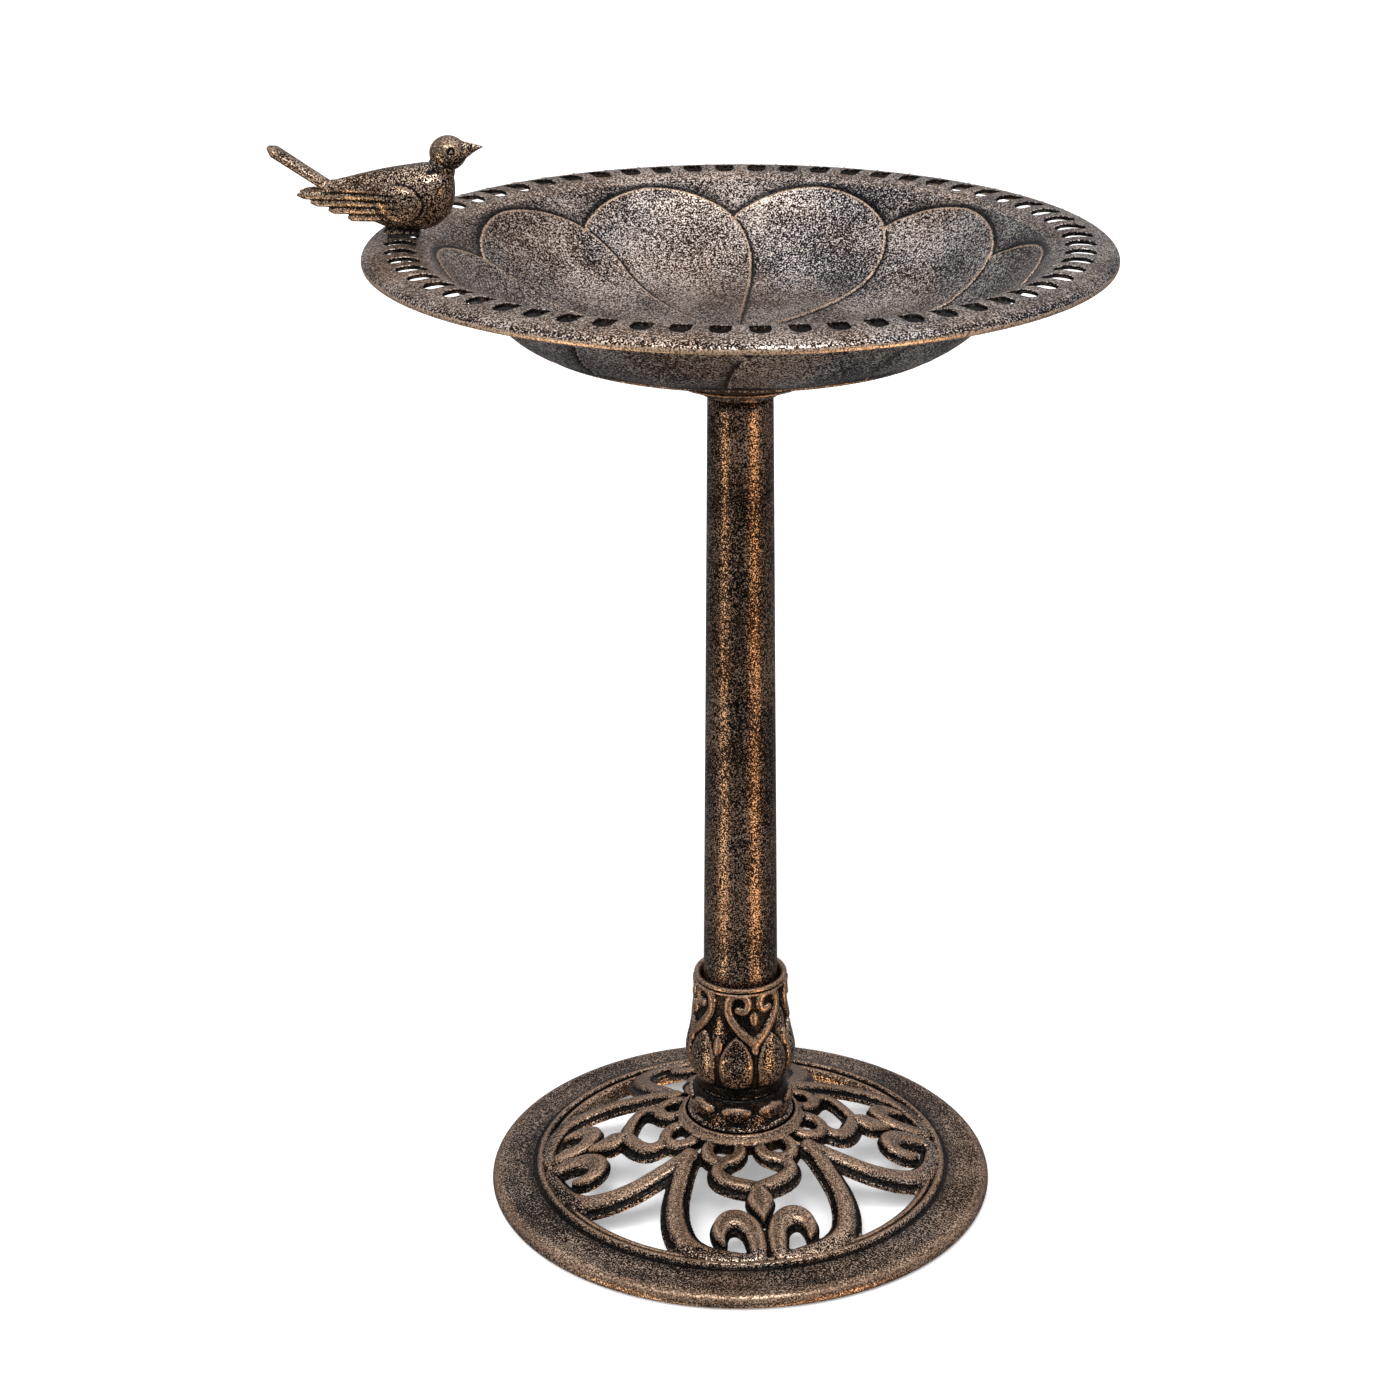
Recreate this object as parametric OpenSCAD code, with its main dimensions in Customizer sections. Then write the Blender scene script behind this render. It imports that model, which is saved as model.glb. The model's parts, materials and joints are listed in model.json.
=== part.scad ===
// Bird bath: a slotted dish on a tapered column, a lotus socket and a pierced round base,
// with a small bird that stands on the rim. The origin is on the floor, on the column's axis.

/* [Bowl] */
// Outer diameter of the dish
bowl_d = 500; // [480:5:520]
// Height of the rim's crest above the floor
crest_z = 712.5; // [700:0.5:740]
// Depth of the dish, from the crest to the inside of its floor
bowl_depth = 68.5; // [66:0.5:72]
// Wall thickness of the dish at its rim and floor
bowl_wall = 3; // [2.5:0.1:3.5]
// Outer diameter of the saucer that carries the dish
saucer_d = 283; // [276:1:286]
// Height of the saucer's flat middle above the floor
saucer_z = 617.5; // [616:0.5:620]
// Number of slots round the rim
slot_count = 60; // [40:4:60]
// Width of one slot
slot_w = 13; // [8:0.5:13]
// Length of one slot, along the radius
slot_len = 20; // [14:1:20]

/* [Column] */
// Diameter of the column at its top
column_top_d = 45; // [42:0.5:48]
// Diameter of the column at its foot, inside the socket
column_foot_d = 54.8; // [53:0.2:55]
// Height of the column's foot above the floor
column_foot_z = 110; // [105:1:120]
// Wall thickness of the column
column_wall = 2.5; // [2:0.1:2.6]
// Thread diameter of the rod that pulls the parts together
rod_d = 8; // [6:1:8]

/* [Socket] */
// Height of the socket's top lip
socket_top_z = 170; // [160:1:180]
// Largest diameter of the socket's bulb
bulb_d = 80; // [76:1:84]
// Number of leaves in the rosette under the bulb
rosette_leaves = 8; // [8:2:16]

/* [Base] */
// Outer diameter of the base ring
base_d = 370; // [360:2:380]
// Inner diameter of the base ring
base_inner_d = 290; // [284:1:292]
// Height of the bead on the base ring
bead_z = 17; // [15:1:20]
// Height of the hub's raised edge above the floor
hub_z = 57; // [55:0.5:58]
// Diameter of the hub disc
hub_d = 93; // [88:1:96]
// Thickness of the grille's bars, measured downwards
grille_t = 8; // [6:0.5:9]
// Turn of the grille's pattern away from the front
grille_turn = 8.5; // [0:0.5:45]

/* [Bird] */
// Distance of the bird's stud from the column's axis
bird_r = 224.5; // [222:0.5:227]
// Place of the bird round the rim, from the right, anticlockwise
bird_angle = 177; // [171:6:189]
// Thread diameter of the bird's stud
stud_d = 5; // [4:0.5:5]

/* [Hidden] */
$fn = 96;
bronze = "#5a4335";
steel = "#a9abad";
rubber = "#2b2b2b";
nylon = "#d9d5c8";
eps = 0.01;
run = 0.05;
bowl_r = bowl_d / 2;
bowl_floor_z = crest_z - bowl_depth;
bowl_under_z = bowl_floor_z - bowl_wall;
gasket_t = 1;
saucer_wall = 3;
saucer_r = saucer_d / 2;
flange_top_z = saucer_z;
flange_h = 11;
flange_z = flange_top_z - flange_h;
flange_r = 46;
screw_r = 30;
screw_hole_r = 2.7;
head_z = flange_z + 5;
boss_hole = 17;
bush_lip_t = 2;
plug_top_z = flange_z + 1;
column_top_z = plug_top_z - 2;
column_inner_top_r = column_top_d / 2 - column_wall;
bush_r = 15;
stub_r = 13;
stub_len = 50;
plug_floor_z = plug_top_z - 66;
plug_floor_t = 6;
rod_r = rod_d / 2;
rod_z = 20;
nut_t = 6.5;
nut_r = 7.5;
washer_t = 1.6;
rosette_top_z = 80;
rosette_r = 39.4;
leaf_turn = -5;
socket_floor_t = 9;
base_r = base_d / 2;
base_inner_r = base_inner_d / 2;
ring_wall = 3;
hub_r = hub_d / 2;
plate_z = hub_z - 7.5;
boss_r = 16;
grille_rim_r = base_inner_r + 12;
slot_r = 224.5;
bird_yaw = bird_angle - 180;
pad_t = 1.5;
washer_z = -bowl_wall - 2.7;

// A smooth curve through points (Catmull-Rom), with n steps between neighbours.
function curve_point(a, b, c, d, t) =
    0.5 * (2 * b + (c - a) * t + (2 * a - 5 * b + 4 * c - d) * t * t
           + (3 * b - a - 3 * c + d) * t * t * t);
function curve(p, n) = [
    for (i = [0 : len(p) - 2], s = [0 : n - 1])
        curve_point(p[max(i - 1, 0)], p[i], p[i + 1], p[min(i + 2, len(p) - 1)], s / n),
    p[len(p) - 1]];
function side(a, b) = let (d = b - a) [-d[1], d[0]] / norm(d);
function normal_at(p, i) = side(p[max(i - 1, 0)], p[min(i + 1, len(p) - 1)]);

// A closed outline: a curve and its own offset by t to the left, for shell profiles
// that end on the axis.
function off_axis(q) = [max(q[0], 0), q[1]];
function shell(p, t) = concat(
    [for (q = p) off_axis(q)],
    [for (i = [len(p) - 1 : -1 : 0]) off_axis(p[i] + t * normal_at(p, i))]);

// A flat bar along a curve of [x, y, half width] points.
module bar(points, steps) {
    p = curve(points, steps);
    xy = [for (q = p) [q[0], q[1]]];
    right = [for (i = [0 : len(p) - 1]) xy[i] - p[i][2] * normal_at(xy, i)];
    left = [for (i = [len(p) - 1 : -1 : 0]) xy[i] + p[i][2] * normal_at(xy, i)];
    polygon(concat(right, left));
}

module tube(r_out, r_in, z, h) {
    translate([0, 0, z])
        difference() {
            cylinder(r = r_out, h = h);
            translate([0, 0, -1])
                cylinder(r = r_in, h = h + 2);
        }
}

// Places children n times round the Z axis.
module around(n, start = 0) {
    for (i = [0 : n - 1])
        rotate([0, 0, start + i * 360 / n])
            children();
}

// Places children at the three screws under the dish, at height z.
module at_screws(z) {
    around(3, 90)
        translate([screw_r, 0, z])
            children();
}

// ---- Base -------------------------------------------------------------

// Hollow ring: a rounded outer edge, a broad band, a groove and a thin bead inside.
module base_ring() {
    bead_r = base_inner_r + 4.5;
    outer = curve([
        [base_r - 3, 0], [base_r, 4], [base_r - 3, 9], [base_r - 8, 11.3],
        [base_r - 19, 12], [bead_r + 6, 13], [bead_r + 3, 14]], 4);
    bead = [for (a = [30 : 30 : 150]) [bead_r + 3 * cos(a), bead_z - 3 + 3 * sin(a)]];
    inner = [
        [base_inner_r, 6], [base_inner_r + ring_wall, 6],
        [base_inner_r + ring_wall, 10], [base_r - 9, 8], [base_r - 7, 0]];
    color(bronze)
        rotate_extrude()
            polygon(concat(outer, bead, inner));
}

// Height of the grille's upper surface at radius r.
dome = [[0, plate_z], [hub_r, plate_z], [72, 44.5], [90, 38], [115, 28.5],
        [141, 18], [base_inner_r - 0.4, 15]];

// One quarter of the pattern, pointing along -Y: a pair of curled arms, a heart-shaped
// band, a bud between the curls and two scallops against the hub.
module grille_quarter() {
    for (s = [-1, 1])
        scale([s, -1]) {
            bar([[44, 44, 6], [48, 52, 6], [55, 70, 5.5], [60.5, 87, 6], [61.5, 107, 6.5],
                 [56, 125, 6.5], [43, 136, 6], [24, 142, 5], [4, 146, 4]], 4);
            bar([[3.5, 146, 4], [4.5, 128, 5], [9, 114, 6], [18, 106, 6.5], [27, 108, 6.5],
                 [30.5, 116, 4.5], [29, 121, 1.5]], 4);
            bar([[20, 60, 5], [27, 68, 5], [22, 79, 5], [11, 85.5, 5], [-2, 90, 5]], 4);
            rotate([0, 0, -22.5])
                translate([0, 50.5])
                    difference() {
                        circle(r = 17);
                        circle(r = 6.5);
                    }
        }
    polygon([[0, -86], [8.5, -98], [4, -114], [-4, -114], [-8.5, -98]]);
}

module base_grille() {
    color(bronze)
        difference() {
            union() {
                intersection() {
                    translate([0, 0, 1])
                        linear_extrude(80)
                            around(4, grille_turn)
                                grille_quarter();
                    rotate_extrude()
                        polygon(concat(
                            dome,
                            [for (i = [len(dome) - 1 : -1 : 0])
                                [dome[i][0], dome[i][1] - grille_t]]));
                }
                // hidden rim that the ring rests on, and the upright edge inside the ring
                tube(grille_rim_r, base_inner_r - 3.5, 3, 2.9);
                tube(base_inner_r - 0.4, base_inner_r - 3.5, 3, 7);
                // hub disc with its raised sloping edge, and the boss round the rod
                translate([0, 0, plate_z - grille_t])
                    cylinder(r = hub_r, h = grille_t);
                rotate_extrude()
                    polygon([[rosette_r + 0.4, plate_z - 1], [hub_r, plate_z - 1],
                             [hub_r, plate_z + 1.5], [hub_r - 5, hub_z],
                             [rosette_r + 0.4, hub_z - 0.5]]);
                translate([0, 0, plate_z - 16])
                    cylinder(r = boss_r, h = 10);
            }
            translate([0, 0, rod_z - 5])
                cylinder(r = rod_r + 0.3, h = plate_z);
            around(4, grille_turn)
                translate([0, -(grille_rim_r - 4), 0])
                    cylinder(r = 2.2, h = 10);
        }
}

// Countersunk screws that hold the grille's rim up against the ring.
module grille_screws() {
    color(steel)
        around(4, grille_turn)
            translate([0, -(grille_rim_r - 4), 0]) {
                translate([0, 0, 1.5])
                    cylinder(r = 3.5, h = 1.5);
                translate([0, 0, 3 - eps])
                    cylinder(r = 1.9, h = 5);
            }
}

// ---- Column foot ---------------------------------------------------------

// Cup with a ring of pointed leaves: it stands on the hub, inside its raised edge.
module hub_rosette() {
    color(bronze)
        difference() {
            union() {
                rotate_extrude()
                    polygon(concat([[0, plate_z], [rosette_r, plate_z]], curve([
                        [rosette_r, hub_z], [rosette_r - 1.2, hub_z + 2], [36.8, 62],
                        [35.6, 66], [35.2, 75], [34.2, rosette_top_z - 1]], 3),
                        [[32.5, rosette_top_z], [0, rosette_top_z]]));
                around(rosette_leaves, leaf_turn)
                    translate([0, -30, 69.4])
                        rotate([90, 0, 0])
                            linear_extrude(8.2)
                                polygon([[-11.3, 0.6], [-4, 5.7], [4, 5.7], [11.3, 0.6], [0, -6.7]]);
            }
            translate([0, 0, plate_z - 1])
                cylinder(r = rod_r + 0.3, h = 40);
        }
}

// Bulb socket: lotus-bud outline, a seat for the column, and a hollow foot.
module column_socket() {
    bulb_r = bulb_d / 2;
    outline = curve([
        [31.6, rosette_top_z], [32, rosette_top_z + 3], [34, 88], [37.4, 95],
        [bulb_r - 0.6, 101.5], [bulb_r, 108], [bulb_r - 1.2, 117], [37.2, 125], [35.6, 134],
        [34.2, 145], [33.8, socket_top_z]], 3);
    seat_r = column_foot_d / 2;
    floor_z = column_foot_z - gasket_t;
    color(bronze)
        difference() {
            rotate_extrude()
                polygon(concat([[0, rosette_top_z]], outline, [[0, socket_top_z]]));
            translate([0, 0, rosette_top_z - 1])
                cylinder(r1 = 25, r2 = 30, h = floor_z - socket_floor_t - rosette_top_z + 1);
            translate([0, 0, floor_z])
                cylinder(r = seat_r + 0.2, h = 80);
            translate([0, 0, socket_top_z - 18])
                cylinder(r1 = seat_r, r2 = 29.2, h = 18 + eps);
            translate([0, 0, rosette_top_z - 1])
                cylinder(r = rod_r + 0.3, h = 80);
        }
}

// Rubber ring between the column's foot and the socket's floor.
module socket_gasket() {
    color(rubber)
        tube(column_foot_d / 2 - 0.3, column_foot_d / 2 - 8, column_foot_z - gasket_t,
             gasket_t);
}

// ---- Column ------------------------------------------------------------

module column_tube() {
    h = column_top_z - column_foot_z;
    color(bronze)
        translate([0, 0, column_foot_z])
            difference() {
                cylinder(d1 = column_foot_d, d2 = column_top_d, h = h);
                translate([0, 0, -eps])
                    cylinder(d1 = column_foot_d - 2 * column_wall,
                             d2 = column_top_d - 2 * column_wall, h = h + 2 * eps);
            }
}

// Threaded rod that pulls base, socket, column and plug together.
module tie_rod() {
    top = plug_floor_z + plug_floor_t + washer_t + nut_t + 4;
    color(steel)
        translate([0, 0, rod_z])
            cylinder(r = rod_r, h = top - rod_z);
}

// A hexagon nut on the rod, with its lower face at z.
module rod_nut(z) {
    color(steel)
        translate([0, 0, z])
            difference() {
                cylinder(r = nut_r, h = nut_t, $fn = 6);
                translate([0, 0, -1])
                    cylinder(r = rod_r + 0.02, h = nut_t + 2);
            }
}

module rod_washers() {
    color(steel) {
        tube(14, rod_r + 0.2, plate_z - 16 - washer_t, washer_t);
        tube(12, rod_r + 0.2, plug_floor_z + plug_floor_t, washer_t);
    }
}

module rod_nut_lower() {
    rod_nut(plate_z - 16 - washer_t - nut_t);
}

module rod_nut_upper() {
    rod_nut(plug_floor_z + plug_floor_t + washer_t);
}

// Plug in the column's top: it closes the tube and takes the bush.
module column_plug() {
    color(bronze)
        difference() {
            union() {
                translate([0, 0, plug_floor_z])
                    cylinder(r = column_inner_top_r - 0.1, h = plug_top_z - plug_floor_z);
                translate([0, 0, column_top_z])
                    cylinder(d = column_top_d, h = plug_top_z - column_top_z);
            }
            translate([0, 0, plug_floor_z + plug_floor_t])
                cylinder(r = bush_r + run, h = 80);
            translate([0, 0, plug_floor_z - 1])
                cylinder(r = rod_r + 0.3, h = 20);
        }
}

// Nylon bush: it drops into the plug, and the bowl's stub turns in it.
module turn_bush() {
    h = stub_len - 2;
    color(nylon)
        difference() {
            union() {
                translate([0, 0, plug_top_z - h])
                    cylinder(r = bush_r, h = h);
                translate([0, 0, plug_top_z])
                    cylinder(r = 19, h = bush_lip_t);
            }
            translate([0, 0, plug_top_z - h - 1])
                cylinder(r = stub_r + run, h = h + bush_lip_t + 2);
        }
}

// ---- Bowl ----------------------------------------------------------------

// Flared cap under the dish, with the stub that drops into the bush.
module bowl_flange() {
    seat_z = plug_top_z + bush_lip_t;
    flare = curve([[24, flange_z], [28, flange_z + 2.5], [35, flange_z + 6],
                   [42, flange_z + 9], [flange_r, flange_top_z]], 3);
    color(bronze)
        difference() {
            union() {
                rotate_extrude()
                    polygon(concat([[0, flange_z]], flare, [[0, flange_top_z]]));
                translate([0, 0, plug_top_z - stub_len + 6])
                    cylinder(r = stub_r, h = stub_len);
            }
            translate([0, 0, flange_z - 1])
                difference() {
                    cylinder(d = column_top_d + 0.8, h = seat_z - flange_z + 1);
                    translate([0, 0, -1])
                        cylinder(r = stub_r, h = 20);
                }
            translate([0, 0, flange_top_z])
                cylinder(r = 60, h = 80);
            at_screws(flange_z - 1) {
                cylinder(r = screw_hole_r, h = 40);
                cylinder(r = 4.4, h = head_z + 3 - flange_z);
            }
        }
}

// Rubber disc between the saucer and the blind bosses under the dish.
module flange_gasket() {
    z = saucer_z + saucer_wall;
    color(rubber)
        difference() {
            tube(flange_r - 3, 14, z, gasket_t);
            at_screws(z - 1)
                cylinder(r = screw_hole_r, h = 3);
        }
}

// Screws from below, through flange, saucer and gasket into blind bosses under the dish.
module flange_screws() {
    color(steel)
        at_screws(head_z) {
            cylinder(r = 4, h = 2);
            translate([0, 0, 1])
                cylinder(r = 2.4, h = saucer_z + boss_hole - 2 - head_z);
        }
}

// Shallow cone under the dish: it spreads the load from the flange to the dish's wall.
module saucer() {
    under = concat([[0, saucer_z]], curve([
        [flange_r, saucer_z], [70, saucer_z + 4.5], [100, saucer_z + 12.5],
        [124, saucer_z + 21.5], [saucer_r - 1, saucer_z + 30]], 3));
    color(bronze)
        difference() {
            rotate_extrude()
                polygon(shell(under, saucer_wall));
            at_screws(saucer_z - 5)
                cylinder(r = screw_hole_r, h = 20);
        }
}

// Dish: a turned shell with a rolled lip, a slotted crest, and three blind bosses below.
module bowl() {
    inside = curve([
        [bowl_r - 0.2, crest_z - 9.5], [bowl_r, crest_z - 7], [bowl_r - 5, crest_z - 3.4],
        [bowl_r - 15, crest_z - 1], [slot_r, crest_z], [slot_r - 9.5, crest_z - 1.2],
        [206, crest_z - 5], [200, crest_z - 9.5], [194, crest_z - 15.6],
        [187, crest_z - 22.9], [172, crest_z - 36.3], [160, crest_z - 45.6],
        [150, crest_z - 52.4], [130, crest_z - 61], [110, crest_z - 65.2],
        [80, bowl_floor_z + 0.7], [50, bowl_floor_z], [0, bowl_floor_z]], 3);
    under = curve([
        [0, bowl_under_z], [50, bowl_under_z], [80, bowl_under_z + 0.7],
        [110, crest_z - 65.2 - bowl_wall], [130, crest_z - 61.5 - bowl_wall],
        [140, crest_z - 61.2], [143, crest_z - 62.5], [146, crest_z - 61],
        [160, crest_z - 53], [172, crest_z - 42], [187, crest_z - 27],
        [200, crest_z - 14.5], [210, crest_z - 6.5], [slot_r - 7, crest_z - 3.8],
        [slot_r, crest_z - bowl_wall], [bowl_r - 15, crest_z - 1 - bowl_wall],
        [bowl_r - 6, crest_z - 3.4 - bowl_wall], [bowl_r - 3, crest_z - 10]], 3);
    color(bronze)
        difference() {
            union() {
                rotate_extrude()
                    polygon([for (q = concat(inside, under)) off_axis(q)]);
                at_screws(saucer_z + saucer_wall + gasket_t)
                    cylinder(r = 7, h = bowl_floor_z - 1 - saucer_z - saucer_wall);
            }
            around(slot_count, 3)
                translate([slot_r, 0, crest_z - 20]) {
                    translate([-(slot_len - slot_w) / 2, -slot_w / 2, 0])
                        cube([slot_len - slot_w, slot_w, 40]);
                    for (s = [-1, 1])
                        translate([s * (slot_len - slot_w) / 2, 0, 0])
                            cylinder(d = slot_w, h = 40);
                }
            at_screws(saucer_z)
                cylinder(r = 2.5, h = boss_hole);
        }
}

// ---- Bird ----------------------------------------------------------------

// Places children at the stud, with +X towards the column and the crest at z = 0.
module at_stud() {
    rotate([0, 0, bird_yaw])
        translate([-bird_r, 0, crest_z])
            children();
}

// Rubber pad between the bird and the rim; it bridges the slot.
module bird_pad() {
    color(rubber)
        at_stud()
            tube(11, stud_d / 2 + 0.2, 0, pad_t);
}

module ball(x, z, r) {
    translate([x, 0, z])
        sphere(r = r, $fn = 32);
}

// Bird looking towards the bowl's middle: body, head, beak, tail and a small foot.
module bird_body() {
    color(bronze)
        at_stud()
            difference() {
                union() {
                    hull() {
                        ball(12, 22, 18);
                        ball(-12, 22, 17);
                        ball(-45, 28, 9);
                    }
                    hull() {
                        ball(28, 30, 11);
                        ball(33, 54, 10.5);
                        ball(5, 30, 12);
                    }
                    translate([42, 0, 55])
                        rotate([0, 97, 0])
                            cylinder(r1 = 5, r2 = 0.8, h = 13.5);
                    translate([-38, 0, 26])
                        rotate([0, -55, 0])
                            translate([0, -8, 0])
                                cube([8, 16, 52]);
                    translate([0, 0, pad_t])
                        cylinder(r = 9, h = 8);
                }
                translate([0, 0, -1])
                    cylinder(r = stud_d / 2, h = 26);
            }
}

// Stud that is screwed into the bird and passes through a slot of the rim.
module bird_stud() {
    color(steel)
        at_stud()
            translate([0, 0, -20])
                cylinder(d = stud_d, h = 44);
}

module stud_washer() {
    color(steel)
        at_stud()
            tube(8.5, stud_d / 2 + 0.2, washer_z, 1.2);
}

module wing_nut() {
    top = washer_z - 0.1;
    color(steel)
        at_stud()
            difference() {
                union() {
                    translate([0, 0, top - 5])
                        cylinder(r = 5, h = 5);
                    translate([-9, -1, top - 9])
                        cube([18, 2, 7]);
                }
                translate([0, 0, -40])
                    cylinder(r = stud_d / 2 + run, h = 50);
            }
}

base_ring();
base_grille();
grille_screws();
hub_rosette();
column_socket();
socket_gasket();
column_tube();
tie_rod();
rod_washers();
rod_nut_lower();
rod_nut_upper();
column_plug();
turn_bush();
bowl_flange();
flange_gasket();
flange_screws();
saucer();
bowl();
bird_pad();
bird_body();
bird_stud();
stud_washer();
wing_nut();
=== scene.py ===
"""Bird bath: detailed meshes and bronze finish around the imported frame.

Lengths are in millimetres in the tables and functions below, and are turned into metres when a
mesh is made. The origin is on the floor on the column's axis, -Y is the front.
"""
import json
import math

import bmesh
import bpy
import numpy as np
from mathutils import Matrix, Vector


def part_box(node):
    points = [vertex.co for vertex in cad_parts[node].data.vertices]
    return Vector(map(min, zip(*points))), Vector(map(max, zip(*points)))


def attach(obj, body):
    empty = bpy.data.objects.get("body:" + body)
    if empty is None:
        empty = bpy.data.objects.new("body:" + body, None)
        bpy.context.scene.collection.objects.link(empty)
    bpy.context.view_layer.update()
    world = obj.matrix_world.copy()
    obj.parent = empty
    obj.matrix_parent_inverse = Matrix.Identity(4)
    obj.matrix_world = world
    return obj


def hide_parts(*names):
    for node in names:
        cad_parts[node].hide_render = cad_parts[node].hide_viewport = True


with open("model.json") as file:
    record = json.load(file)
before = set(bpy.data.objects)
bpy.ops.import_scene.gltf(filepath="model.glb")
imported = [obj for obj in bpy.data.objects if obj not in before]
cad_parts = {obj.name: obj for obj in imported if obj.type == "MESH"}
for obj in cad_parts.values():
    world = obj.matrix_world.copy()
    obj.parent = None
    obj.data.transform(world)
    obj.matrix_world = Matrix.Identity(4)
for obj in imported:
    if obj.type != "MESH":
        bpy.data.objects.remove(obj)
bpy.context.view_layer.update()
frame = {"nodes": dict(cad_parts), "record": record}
MM = 0.001
TAU = 2 * math.pi


# ---------------------------------------------------------------- curves and meshes

def spline(points, steps):
    """A Catmull-Rom curve through points of any dimension, with steps between neighbours."""
    p = np.asarray(points, float)
    p = np.vstack([2 * p[0] - p[1], p, 2 * p[-1] - p[-2]])
    t = np.linspace(0, 1, steps, endpoint=False)[:, None]
    out = []
    for a, b, c, d in zip(p[:-3], p[1:-2], p[2:-1], p[3:]):
        out.append(0.5 * (2 * b + (c - a) * t + (2 * a - 5 * b + 4 * c - d) * t ** 2
                          + (3 * b - a - 3 * c + d) * t ** 3))
    return np.vstack(out + [p[-2][None]])


def smooth(x, lo, hi):
    """0 below lo, 1 above hi, and a smooth step between."""
    t = np.clip((x - lo) / (hi - lo), 0, 1)
    return t * t * (3 - 2 * t)


def make(name, points, faces, material=None):
    """An object from points in millimetres."""
    mesh = bpy.data.meshes.new(name)
    mesh.from_pydata((np.asarray(points) * MM).tolist(), [], faces)
    mesh.polygons.foreach_set("use_smooth", [True] * len(mesh.polygons))
    mesh.update()
    obj = bpy.data.objects.new(name, mesh)
    bpy.context.scene.collection.objects.link(obj)
    if material:
        mesh.materials.append(material)
    return obj


def grid_faces(rows, columns):
    """Quads of a ring of points stored row by row: the last column joins the first."""
    faces = []
    for i in range(rows - 1):
        a = i * columns
        for j in range(columns):
            k = (j + 1) % columns
            faces.append((a + j, a + k, a + columns + k, a + columns + j))
    return faces


def lathe(name, profile, material, columns=256, shape=None):
    """Turns a closed (r, z) profile round the Z axis. shape(r, z, angle) may move r and z."""
    p = np.asarray(profile, float)
    angle = np.arange(columns) * TAU / columns
    r = np.repeat(p[:, :1], columns, 1)
    z = np.repeat(p[:, 1:], columns, 1)
    a = np.repeat(angle[None], len(p), 0)
    if shape:
        r, z = shape(r, z, a)
    points = np.stack([r * np.cos(a), r * np.sin(a), z], 2).reshape(-1, 3)
    faces = grid_faces(len(p), columns)
    last = (len(p) - 1) * columns
    for j in range(columns):
        k = (j + 1) % columns
        faces.append((last + j, last + k, k, j))
    return tidy(make(name, points, faces, material))


def tidy(obj, merge=1e-6):
    """Welds doubled points and turns all faces outwards."""
    bm = bmesh.new()
    bm.from_mesh(obj.data)
    bmesh.ops.remove_doubles(bm, verts=bm.verts, dist=merge)
    bmesh.ops.dissolve_degenerate(bm, edges=bm.edges, dist=1e-7)
    bmesh.ops.recalc_face_normals(bm, faces=bm.faces)
    bm.to_mesh(obj.data)
    bm.free()
    obj.data.polygons.foreach_set("use_smooth", [True] * len(obj.data.polygons))
    return obj


def join(name, parts):
    """One object from several."""
    bm = bmesh.new()
    for o in parts:
        bm.from_mesh(o.data)
    mesh = bpy.data.meshes.new(name)
    bm.to_mesh(mesh)
    bm.free()
    obj = bpy.data.objects.new(name, mesh)
    bpy.context.scene.collection.objects.link(obj)
    for o in parts:
        bpy.data.objects.remove(o)
    return obj


def bake_modifiers(obj):
    """Applies the object's modifiers to its mesh."""
    dg = bpy.context.evaluated_depsgraph_get()
    mesh = bpy.data.meshes.new_from_object(obj.evaluated_get(dg))
    obj.modifiers.clear()
    obj.data = mesh
    return obj


def cast(obj, voxel, passes, material):
    """Melts overlapping solids into one cast surface: voxel remesh, then smoothing."""
    m = obj.modifiers.new("melt", "REMESH")
    m.mode = "VOXEL"
    m.voxel_size = voxel * MM
    m.use_smooth_shade = True
    s = obj.modifiers.new("smooth", "SMOOTH")
    s.factor = 0.5
    s.iterations = passes
    bake_modifiers(obj)
    obj.data.materials.clear()
    obj.data.materials.append(material)
    obj.data.polygons.foreach_set("use_smooth", [True] * len(obj.data.polygons))
    return obj


def mark_relief(obj, passes, depth, painted_light_and_wear=None):
    """Stores a point attribute: above 0 on proud edges, which the bronze draws as rubbed edges with
    painted highlights, below 0 in hollows, which it paints near-black as painted shade. passes sets
    how wide the comparison is, and depth (mm) what counts as 1. The optional last argument, a
    function of points in mm, adds painted shade where it gives 0 to 1, and painted highlights and
    wear where it gives less than 0."""
    mesh = obj.data
    n = len(mesh.vertices)
    co = np.empty(n * 3)
    no = np.empty(n * 3)
    mesh.vertices.foreach_get("co", co)
    mesh.vertices.foreach_get("normal", no)
    co, no = co.reshape(-1, 3), no.reshape(-1, 3)
    e = np.empty(len(mesh.edges) * 2, int)
    mesh.edges.foreach_get("vertices", e)
    a, b = e[0::2], e[1::2]
    degree = np.maximum(np.bincount(e, minlength=n), 1)

    def spread(v):
        return (np.bincount(a, v[b], n) + np.bincount(b, v[a], n)) / degree

    flat = co.copy()
    for _ in range(passes):
        for axis in range(3):
            flat[:, axis] = 0.5 * flat[:, axis] + 0.5 * spread(flat[:, axis])
    proud = ((co - flat) * no).sum(1) / (depth * MM)
    for _ in range(2):
        proud = 0.5 * proud + 0.5 * spread(proud)
    proud = np.clip(proud, -1, 1)
    # the given function's values above 0 are painted shade and lower the value; those below 0 are
    # painted highlights and wear and raise it
    if painted_light_and_wear:
        proud -= painted_light_and_wear(co / MM)
    attribute = mesh.attributes.new("relief_and_painted_light", "FLOAT", "POINT")
    attribute.data.foreach_set("value", np.clip(proud, -1, 1))
    return obj


def path_distance(points, path):
    """Distance from each 2D point to a polyline, and how far along the polyline that is (0-1)."""
    best = np.full(len(points), 1e9)
    along = np.zeros(len(points))
    n = len(path) - 1
    for i in range(n):
        a, d = path[i], path[i + 1] - path[i]
        t = np.clip(((points - a) @ d) / max(d @ d, 1e-12), 0, 1)
        dist = np.hypot(*(points - a - t[:, None] * d).T)
        near = dist < best
        best[near] = dist[near]
        along[near] = (i + t[near]) / n
    return best, along


# ---------------------------------------------------------------- materials

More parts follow.
